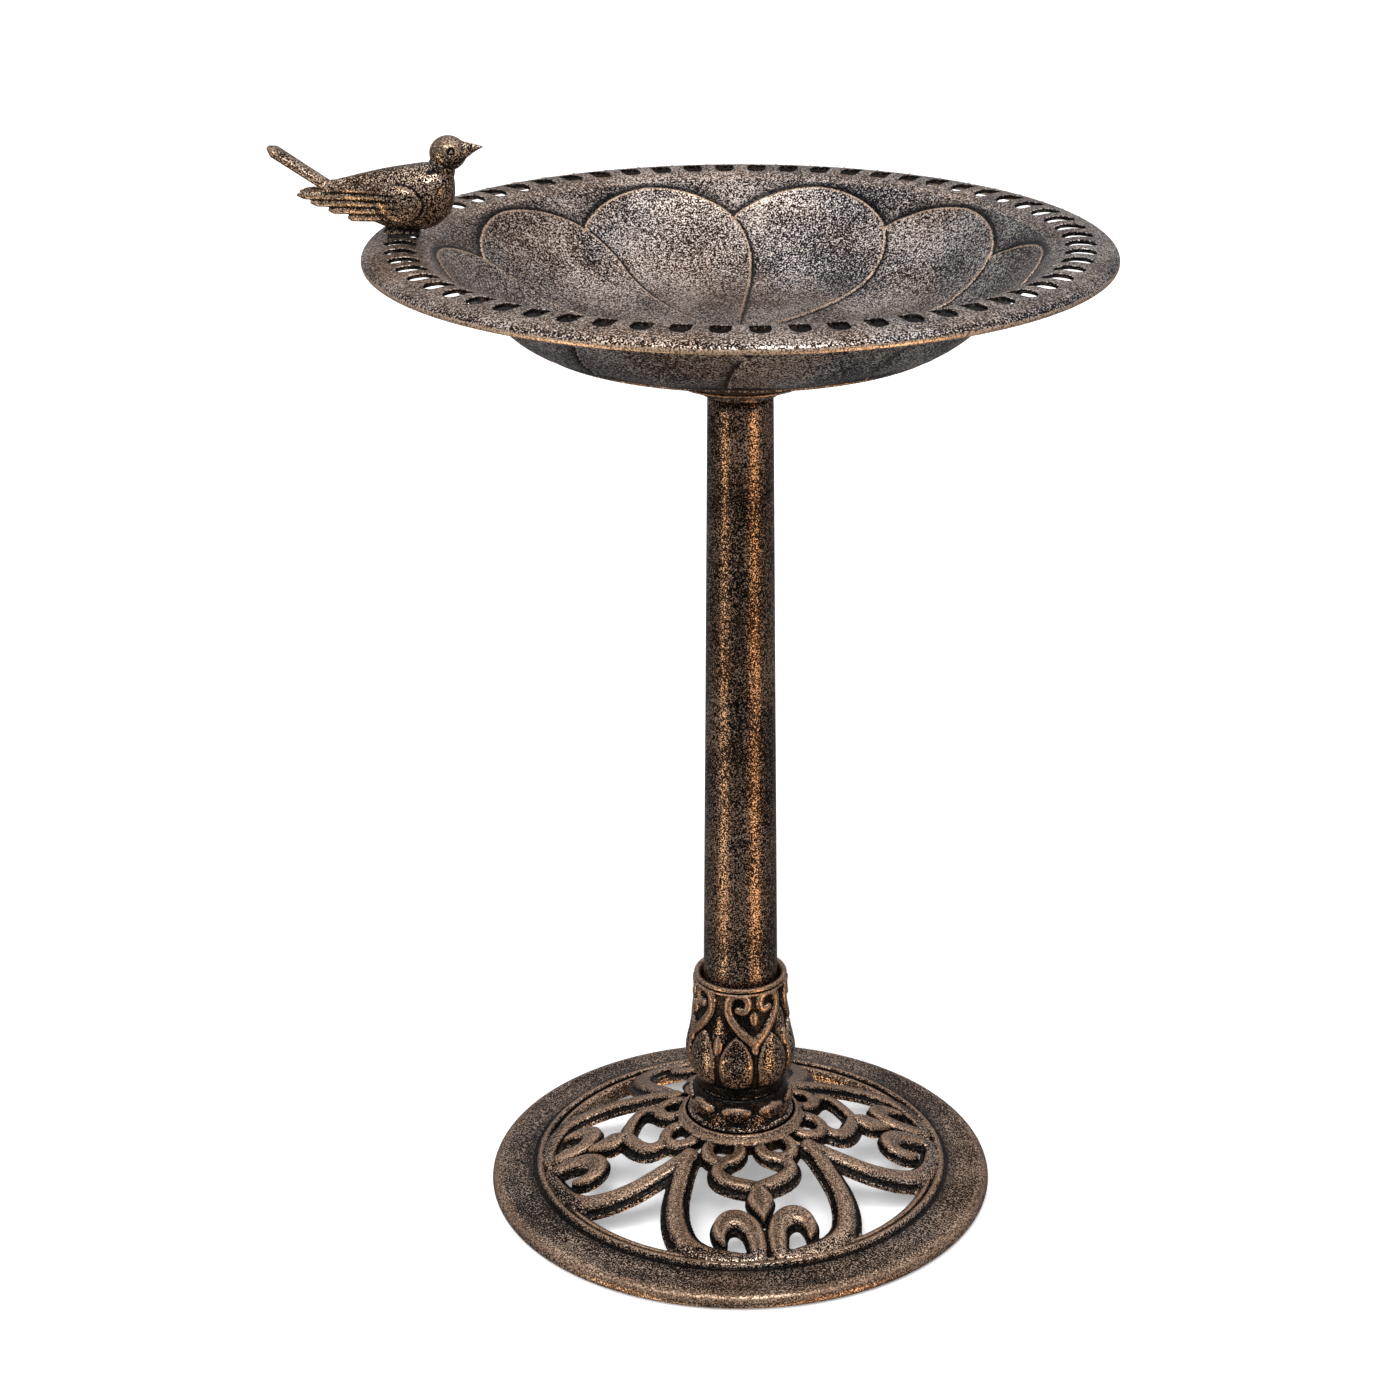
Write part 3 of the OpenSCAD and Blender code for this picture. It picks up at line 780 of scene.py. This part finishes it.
def build_socket(material):
    """Lotus socket: scroll pairs and buds above, eight lotus leaves below, a plain lip on top."""
    outline = spline(SOCKET, 3)
    z_rows = np.linspace(80.2, 170, 300)
    wall = [(33.2, 170.8), (31.6, 171.0), (30.2, 170.3), (29.4, 168.4), (28.6, 160), (27.6, 152),
            (10, 150), (10, 82), (31, 80.2)]
    profile = [(np.interp(z, outline[:, 1], outline[:, 0]), z) for z in z_rows] + wall
    rows = len(z_rows)

    def shape(r, z, a):
        r = r.copy()
        height = socket_height(a[:rows].ravel(), z[:rows].ravel())
        r[:rows] += height.reshape(rows, -1) - 2.6
        return r, z

    # painted light of the socket: painted shade on the ground between the forms, under the lotus
    # leaves and on the inner surfaces; wear and painted highlights on the scrolls, buds, leaf edges
    # and bands
    def painted_light_and_wear(co):
        z = co[:, 2]
        angle = np.arctan2(co[:, 1], co[:, 0])
        outer = np.hypot(co[:, 0], co[:, 1]) > 30.3
        scroll, bud, leaf, band = socket_forms(angle, z)
        ground = 1 - smooth(np.maximum.reduce([scroll, bud, leaf, band]), 0.3, 1.6)
        wear_and_highlight = np.maximum.reduce([0.5 * smooth(scroll, 2.2, 3.4), 0.85 * smooth(bud, 1.8, 3.0),
                                  0.45 * np.exp(-((leaf - 1.9) / 0.6) ** 2) * (z > 96),
                                  0.6 * smooth(band, 1.8, 2.6)])
        wear_and_highlight = wear_and_highlight * (1 - smooth(-z, -100, -92))
        painted_shade = 0.95 * np.maximum(ground * (z > 86), smooth(-z, -97, -88))
        return np.where(outer, painted_shade - wear_and_highlight, 0.3)

    obj = lathe("column_socket_cast", profile, material, 540, shape)
    return mark_relief(obj, 14, 0.5, painted_light_and_wear)


def rosette_height(angle, z):
    """Relief of the rosette (mm): eight leaves, and a lower one below each gap."""
    lobe = np.mod(angle + TAU / 4 - SOCKET_TURN, TAU / 8) - TAU / 16
    q = lobe * 37.0
    level = (z - 70.6) / np.where(z > 70.6, 5.4, 7.8)
    leaf = dome(np.abs(q / 12.2) ** 1.7 + np.abs(level) ** (1.5 + 0.5 * (z > 70.6)))
    gap = (TAU / 16 - np.abs(lobe)) * 38.0
    low = dome((gap / 10.0) ** 2 + ((z - 64) / 5.2) ** 2)
    return np.maximum(4.2 * leaf ** 0.8, 1.9 * low)


def build_rosette(material):
    """Cup on the hub with a ring of pointed leaves round it."""
    outline = spline([(38.9, 49.3), (38.9, 54), (38.9, 57), (38.2, 58.3), (36.8, 59.4), (35.7, 62),
                      (35.2, 66), (35.0, 75), (34.3, 78), (32.8, 79.6), (31, 79.8)], 14)
    rows = len(outline)
    profile = list(outline) + [(12, 79.8), (12, 49.3)]

    def shape(r, z, a):
        r, z = r.copy(), z.copy()
        height = rosette_height(a[:rows].ravel(), z[:rows].ravel()).reshape(rows, -1)
        r[:rows] += np.where(z[:rows] > 59, height - 0.4, 0)
        return r, z

    # painted shade between the leaves and low on the cup, by the hub; painted highlight along the
    # leaves' edges
    def painted_light_and_wear(co):
        height = rosette_height(np.arctan2(co[:, 1], co[:, 0]), co[:, 2])
        ground = (1 - smooth(height, 0.2, 1.4)) * (co[:, 2] > 59.5)
        arc = 0.85 * np.exp(-((height - 2.6) / 0.7) ** 2) * (co[:, 2] > 70)
        return 0.95 * np.maximum(ground, 1.0 * (co[:, 2] < 57)) - arc

    obj = lathe("hub_rosette_cast", profile, material, 420, shape)
    return mark_relief(obj, 10, 0.4, painted_light_and_wear)


# ---------------------------------------------------------------- column and caps

def build_column(material):
    """The plain tapered tube between the socket and the cap."""
    lo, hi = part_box("column_tube")
    z0, z1 = lo[2] / MM, hi[2] / MM
    r0, r1 = 27.4, 22.5
    outer = [(r0 + (r1 - r0) * t, z0 + (z1 - z0) * t) for t in np.linspace(0, 1, 60)]
    inner = [(r1 - 2.5, z1), (r0 - 2.5, z0)]
    obj = lathe("column_tube_cast", outer + inner, material, 160)
    return mark_relief(obj, 4, 0.5)


def build_caps(material):
    """The flared cap under the dish with its two rounded steps, and the shallow saucer."""
    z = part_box("bowl_flange")[1][2] / MM
    bottom = z - 11
    outer = spline([(24.2, bottom), (26.4, bottom + 0.6), (27.6, bottom + 2.2), (30, bottom + 3.6),
                    (34.6, bottom + 5.0), (36.2, bottom + 6.2), (39, bottom + 7.6),
                    (44.2, bottom + 8.8), (45.9, bottom + 9.8), (45.6, z - 0.2)], 4)
    stub = [(8, z - 0.2), (8, z - 50), (12.9, z - 50), (12.9, bottom + 3.2), (23, bottom + 3.2),
            (23.2, bottom + 0.2)]
    flange = lathe("bowl_flange_cast", np.vstack([outer, stub]), material, 192)
    under = spline([(8, z + 0.1), (40, z + 0.1), (47, z + 1.0), (60, z + 7.2), (76, z + 13.6),
                    (100, z + 20.2), (124, z + 25.6), (138.5, z + 29.2), (140.2, z + 30.6)], 6)
    back = [(139.4, z + 32.4), (124, z + 28.2), (100, z + 23.0), (76, z + 16.6), (60, z + 10.4),
            (44, z + 3.4), (8, z + 3.0)]
    saucer = lathe("saucer_cast", np.vstack([under, back]), material, 256)
    # painted shade: the whole saucer, under the dish, is drawn darker
    return mark_relief(flange, 8, 0.4), mark_relief(saucer, 8, 0.6, lambda co: 0.6)


# ---------------------------------------------------------------- bird

BIRD_TURN = math.radians(-3)
BIRD_AT = (-SLOT_R * math.cos(BIRD_TURN), -SLOT_R * math.sin(BIRD_TURN))
# Body sections from tail root to breast: (x, bottom z, top z, half width).
BIRD_BODY = [(-50, 26, 34, 3.0), (-44, 20, 36, 6.5), (-34, 15, 38.5, 10), (-22, 9.6, 41.5, 13.5),
             (-8, 4.2, 44.5, 16.8), (6, 2.6, 46.8, 18.6), (17, 4.0, 48.2, 18.4),
             (26, 8.2, 48.0, 15.8), (32, 15, 45.5, 11.5), (35, 23, 38, 6)]
# Wing blades: (root x, root z, tip x, tip z, half height, how far out).
FEATHERS = [(6, 32.0, -52, 31.4, 3.0, 1.0), (8, 28.2, -69, 26.4, 3.1, 2.0),
            (9, 24.0, -60, 21.8, 3.0, 1.8), (9, 19.8, -48, 17.2, 2.9, 1.5),
            (8, 15.6, -35, 12.8, 2.8, 1.0)]
# Beak sections: (x, bottom z, top z, half width).
BEAK = [(34, 42, 63, 9), (38, 45.2, 63, 8), (41.5, 48.4, 62.4, 6.2), (44.5, 51.4, 61.6, 4.4),
        (48, 54.2, 60.9, 3), (51.5, 56.6, 60, 1.8), (54.2, 57.8, 59.4, 0.9),
        (55.2, 58.3, 58.9, 0.4)]
# Middles of the shoulder and the eye: (x, z).
SHOULDER = (0, 23.6)
EYE = (35.4, 57.0)


def blob(name, rings, segments=24):
    """A closed loft: rings are (centre, right vector, up vector) triples, capped at both ends."""
    t = np.arange(segments) * TAU / segments
    points = [np.asarray(c) + np.outer(np.cos(t), u) + np.outer(np.sin(t), v) for c, u, v in rings]
    faces = grid_faces(len(rings), segments)
    faces.append(tuple(range(segments)))
    faces.append(tuple(range((len(rings) - 1) * segments, len(rings) * segments)))
    return tidy(make(name, np.vstack(points), faces))


def ellipsoid(name, centre, radii, tilt=0.0):
    """An ellipsoid, turned by tilt about Y."""
    bm = bmesh.new()
    bmesh.ops.create_uvsphere(bm, u_segments=32, v_segments=20, radius=1.0)
    m = (Matrix.Translation(Vector(centre) * MM) @ Matrix.Rotation(tilt, 4, "Y")
         @ Matrix.Diagonal([r * MM for r in radii] + [1]))
    bmesh.ops.transform(bm, matrix=m, verts=bm.verts)
    mesh = bpy.data.meshes.new(name)
    bm.to_mesh(mesh)
    bm.free()
    obj = bpy.data.objects.new(name, mesh)
    bpy.context.scene.collection.objects.link(obj)
    return obj


def body_half_width(x):
    """Half the body's width at a station along the bird."""
    b = np.array(BIRD_BODY)
    return float(np.interp(x, b[:, 0], b[:, 3]))


def build_bird(material):
    """Song bird: lofted body, head, beak, layered wing blades and a raised tail, cast as one."""
    parts = []
    rings = [((x, 0, (lo + hi) / 2), (0, w, 0), (0, 0, (hi - lo) / 2))
             for x, lo, hi, w in spline(BIRD_BODY, 4)]
    parts.append(blob("body", rings))
    parts.append(ellipsoid("neck", (26.5, 0, 42), (9.5, 11.0, 14), math.radians(12)))
    parts.append(ellipsoid("head", (31.8, 0, 54.4), (12.4, 11.4, 11.6), math.radians(-6)))
    rings = [((x, 0, (hi + lo) / 2), (0, w, 0), (0, 0, (hi - lo) / 2)) for x, lo, hi, w in BEAK]
    parts.append(blob("beak", rings, 20))
    for s in (-1, 1):
        parts.append(ellipsoid("cheek", (33, s * 3.6, 52.5), (7.5, 6.4, 7)))
        at = (SHOULDER[0], s * 16.4, SHOULDER[1])
        parts.append(ellipsoid("shoulder", at, (16.5, 6.6, 12.6), math.radians(10)))
        for x0, z0, x1, z1, h, out in FEATHERS:
            rings = []
            for t in np.linspace(0, 1, 15):
                x = x0 + (x1 - x0) * t
                z = z0 + (z1 - z0) * t
                behind = max(-36 - x, 0)
                body = body_half_width(max(x, -36)) * (0.92 - 0.004 * behind)
                y = s * (body + out - 0.6 - 0.12 * behind)
                taper = math.sin(math.pi * min(0.12 + 0.62 * t, 0.6)) ** 0.45
                if t > 0.93:
                    taper *= math.sqrt(max(1 - ((t - 0.93) / 0.074) ** 2, 0.02))
                rings.append(((x, y, z), (0, 3.1 * taper, 0), (0, 0, h * taper)))
            parts.append(blob("feather", rings, 16))
    tail = []
    for t in np.linspace(0, 1, 12):
        x, z = -43 - 45 * t, 27.6 + 29.4 * t
        round_end = math.sqrt(max(1 - (max(t - 0.9, 0) / 0.105) ** 2, 0.05))
        width = (6.5 + 2.2 * t) * round_end
        tail.append(((x, 0, z), (0, width, 0), (2.0 * round_end, 0, 3.4 * round_end)))
    parts.append(blob("tail", tail, 20))
    foot = ((-1, 1.5, 13, 9), (-1, 3, 12, 8.6), (-1, 5, 10.5, 8), (0, 9, 11, 9))
    parts.append(blob("foot", [((x, 0, z), (a, 0, 0), (0, b, 0)) for x, z, a, b in foot]))
    obj = cast(join("bird_cast", parts), 0.5, 2, material)
    # eyes: a ring and a bead pressed into the head
    co = np.empty(len(obj.data.vertices) * 3)
    obj.data.vertices.foreach_get("co", co)
    co = co.reshape(-1, 3) / MM
    eye = np.hypot(co[:, 0] - EYE[0], co[:, 2] - EYE[1])
    press = np.exp(-((eye - 1.9) / 0.6) ** 2) - 0.35 * np.exp(-(eye / 0.8) ** 2)
    co[:, 1] -= np.sign(co[:, 1]) * press * (np.abs(co[:, 1]) > 4)
    c, s = math.cos(BIRD_TURN), math.sin(BIRD_TURN)
    x, y = co[:, 0].copy(), co[:, 1].copy()
    co[:, 0] = c * x - s * y + BIRD_AT[0]
    co[:, 1] = s * x + c * y + BIRD_AT[1]
    co[:, 2] += CREST_Z
    obj.data.vertices.foreach_set("co", (co * MM).ravel())
    obj.data.update()

    def painted_light_and_wear(co):
        """Painted shade in the gaps between the wing blades, along the shoulder's outline, at the
        throat, under the belly and in the eye ring; wear and painted highlights beside the gaps and
        the shoulder's outline, a painted highlight on the top of the head and a painted glint in
        the eye.
        """
        x, y, z = co[:, 0] - BIRD_AT[0], co[:, 1] - BIRD_AT[1], co[:, 2] - CREST_Z
        x, y = c * x + s * y, c * y - s * x
        side = np.stack([x, z], 1)
        gap = np.full(len(x), 1e9)
        for (x0, z0, x1, z1, *_), (x2, z2, x3, z3, *_) in zip(FEATHERS[:-1], FEATHERS[1:]):
            seam = np.array([[(x0 + x2) / 2 - 8, (z0 + z2) / 2], [max(x1, x3), (z1 + z3) / 2]])
            gap = np.minimum(gap, path_distance(side, seam)[0])
        out = (np.abs(y) > 7) & (z < 38)
        front = np.hypot((x + 1) / 17.5, (z - SHOULDER[1]) / 13.2) * 15
        outline = np.abs(front - 15) + 9 * (x < -1)
        line = np.exp(-(gap / 0.55) ** 2) + np.exp(-(outline / 0.7) ** 2)
        wear_and_highlight = 0.4 * np.exp(-((gap - 1.9) / 0.5) ** 2) \
            + 0.55 * np.exp(-((outline - 1.6) / 0.7) ** 2) * (front < 15)
        throat = np.exp(-((z - 45 - 0.35 * (x - 26)) / 2.2) ** 2) * (x > 18) * (x < 44)
        shade = 0.5 * smooth(-z, -11, -4) + 0.6 * throat
        eye = np.hypot(x - EYE[0], z - EYE[1])
        ring = np.exp(-((eye - 1.8) / 0.7) ** 2)
        head_top_highlight = 0.3 * smooth(z, 50, 58) * (x < 42)
        # painted glint: the middle of the eye is drawn light
        return out * (line - wear_and_highlight) + shade + ring - head_top_highlight * (eye > 3) - 0.9 * (eye < 0.9)

    return mark_relief(obj, 16, 0.5, painted_light_and_wear)


# ---------------------------------------------------------------- the bird bath

# edge is each bronze's colour for rubbed edges and painted highlights
dish = bronze("bronze_dish", (0.012, 0.009, 0.009), (0.33, 0.24, 0.19), (0.40, 0.225, 0.13),
              (0.13, 0.13, 0.15), (1.0, 0.90, 0.80), edge=(0.95, 0.69, 0.48), share=0.56,
              wear_and_highlight_strength=0.9, grain_size=860, drift=0.7)
stand = bronze("bronze_stand", (0.006, 0.004, 0.004), (0.15, 0.092, 0.062), (0.27, 0.14, 0.07),
               (0.07, 0.07, 0.08), (1.0, 0.76, 0.56), edge=(0.66, 0.43, 0.28), share=0.47,
               wear_and_highlight_strength=0.85, rough=0.32, grain_size=940)
pole = bronze("bronze_pole", (0.003, 0.003, 0.003), (0.14, 0.086, 0.053), (0.22, 0.118, 0.058),
              (0.06, 0.06, 0.065), (0.72, 0.52, 0.38), share=0.42, wear_and_highlight_strength=0.0, rough=0.32,
              grain_size=1040)
figure = bronze("bronze_bird", (0.005, 0.003, 0.003), (0.33, 0.205, 0.13), (0.44, 0.26, 0.145),
                (0.15, 0.11, 0.085), (1.0, 0.80, 0.60), edge=(0.74, 0.52, 0.35), share=0.55,
                wear_and_highlight_strength=0.85, rough=0.28)

bowl = build_bowl(dish)
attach(bowl, "bowl")
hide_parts("bowl")

flange, saucer = build_caps(stand)
for piece, node in ((flange, "bowl_flange"), (saucer, "saucer")):
    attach(piece, "bowl")
    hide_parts(node)

bird = build_bird(figure)
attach(bird, "bird")
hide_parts("bird_body")

for piece, node in ((build_ring(stand), "base_ring"), (build_grille(stand), "base_grille"),
                    (build_rosette(stand), "hub_rosette"), (build_socket(stand), "column_socket"),
                    (build_column(pole), "column_tube")):
    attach(piece, "stand")
    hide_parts(node)

finishes = {"steel": zinc("zinc_plate"), "rubber": rubber("black_rubber"), "nylon": nylon("nylon")}
slots = {s["node"]: s["material_slot"] for s in frame["record"]["subparts"]}
for node, obj in frame["nodes"].items():
    material = finishes.get(slots[node], stand)
    for i in range(len(obj.data.materials)):
        obj.material_slots[i].material = material


# ---------------------------------------------------------------- floor, light and camera

def build_stage():
    """A wide pale floor, left out of reflections."""
    n = Nodes("pale_floor")
    cloud = n.noise(3, 3.0)
    colour = n.mix(n.ramp(cloud, 0.3, 0.7), rgb(0.93, 0.93, 0.93), rgb(0.95, 0.95, 0.95))
    n.set(Base_Color=colour, Roughness=1.0, Emission_Color=rgb(1, 1, 1))
    n.shader.inputs["Emission Strength"].default_value = 0.3
    n.shader.inputs["Specular IOR Level"].default_value = 0.0
    size = 30000
    floor = make("floor", [(-size, -size, -0.5), (size, -size, -0.5), (size, size, -0.5),
                           (-size, size, -0.5)], [(0, 1, 2, 3)], n.material)
    floor.visible_glossy = False


def area(name, at, aim, size, power):
    """A white rectangular light at a point, aimed at another; size is (width, height)."""
    light = bpy.data.lights.new(name, "AREA")
    light.shape = "RECTANGLE"
    light.size, light.size_y = size
    light.energy = power
    obj = bpy.data.objects.new(name, light)
    obj.location = at
    obj.rotation_euler = (Vector(aim) - Vector(at)).to_track_quat("-Z", "Y").to_euler()
    bpy.context.scene.collection.objects.link(obj)


# Upright light bands: azimuth from the front towards +X, half width, colour.
LIGHT_BANDS = ((-0.95, 0.19, (24, 17.5, 11.5, 1)), (0.86, 0.30, (20, 12.5, 6.8, 1)))


def build_world():
    """A studio round the object: bright overhead, dark below, with two upright light bands that
    stay under the horizon, where only reflections see them."""
    world = bpy.data.worlds.new("studio")
    world.use_nodes = True
    tree = world.node_tree

    def node(kind, *sources, **settings):
        """A new node; its inputs are linked or set in order."""
        made = tree.nodes.new(kind)
        for key, value in settings.items():
            setattr(made, key, value)
        for i, source in enumerate(sources):
            if isinstance(source, bpy.types.NodeSocket):
                tree.links.new(source, made.inputs[i])
            else:
                made.inputs[i].default_value = source
        return made

    def maths(operation, a, b=0.0):
        return node("ShaderNodeMath", a, b, operation=operation).outputs[0]

    def ramp(value, lo, hi, out_lo, out_hi):
        return node("ShaderNodeMapRange", value, lo, hi, out_lo, out_hi,
                    interpolation_type="SMOOTHSTEP").outputs[0]

    x, y, z = node("ShaderNodeSeparateXYZ",
                   tree.nodes.new("ShaderNodeTexCoord").outputs["Generated"]).outputs
    azimuth = maths("ARCTAN2", x, maths("MULTIPLY", y, -1.0))
    level = maths("ADD", ramp(z, -0.15, 0.15, 0.16, 0.36), ramp(z, 0.5, 0.95, 0.0, 0.5))
    tree.links.new(level, tree.nodes["Background"].inputs["Strength"])
    colour = None
    for middle, half, tint in LIGHT_BANDS:
        away = maths("ABSOLUTE", maths("SUBTRACT", azimuth, middle))
        band = maths("MULTIPLY", ramp(away, 0.3 * half, half, 1, 0), ramp(z, -0.2, 0.03, 1, 0))
        mix = node("ShaderNodeMix", data_type="RGBA")
        tree.links.new(band, mix.inputs[0])
        mix.inputs[6].default_value = (0.98, 0.96, 1.0, 1)
        mix.inputs[7].default_value = tint
        if colour is not None:
            tree.links.new(colour, mix.inputs[6])
        colour = mix.outputs[2]
    tree.links.new(colour, tree.nodes["Background"].inputs["Color"])
    bpy.context.scene.world = world


def build_lights():
    """A very soft sun from above for the floor and the tops, and a softbox over the camera."""
    sun = bpy.data.lights.new("sky", "SUN")
    sun.energy = 2.3
    sun.angle = math.radians(40)
    obj = bpy.data.objects.new("sky", sun)
    obj.rotation_euler = (math.radians(34), math.radians(-14), 0)
    obj.visible_glossy = False
    bpy.context.scene.collection.objects.link(obj)
    area("softbox", (0.15, -1.1, 2.5), (0, 0, 0.5), (1.5, 0.6), 12)


def build_camera():
    """The camera that looks down on the bowl."""
    camera = bpy.data.cameras.new("camera")
    camera.sensor_width = 36
    camera.lens = 77.66
    camera.shift_x = -0.0289
    obj = bpy.data.objects.new("camera", camera)
    obj.location = (0, -1.966, 1.1805)
    obj.rotation_euler = (math.radians(90 - 22.09), 0, 0)
    bpy.context.scene.collection.objects.link(obj)
    bpy.context.scene.camera = obj


build_stage()
build_world()
build_lights()
build_camera()
bpy.context.scene.view_settings.view_transform = "Standard"
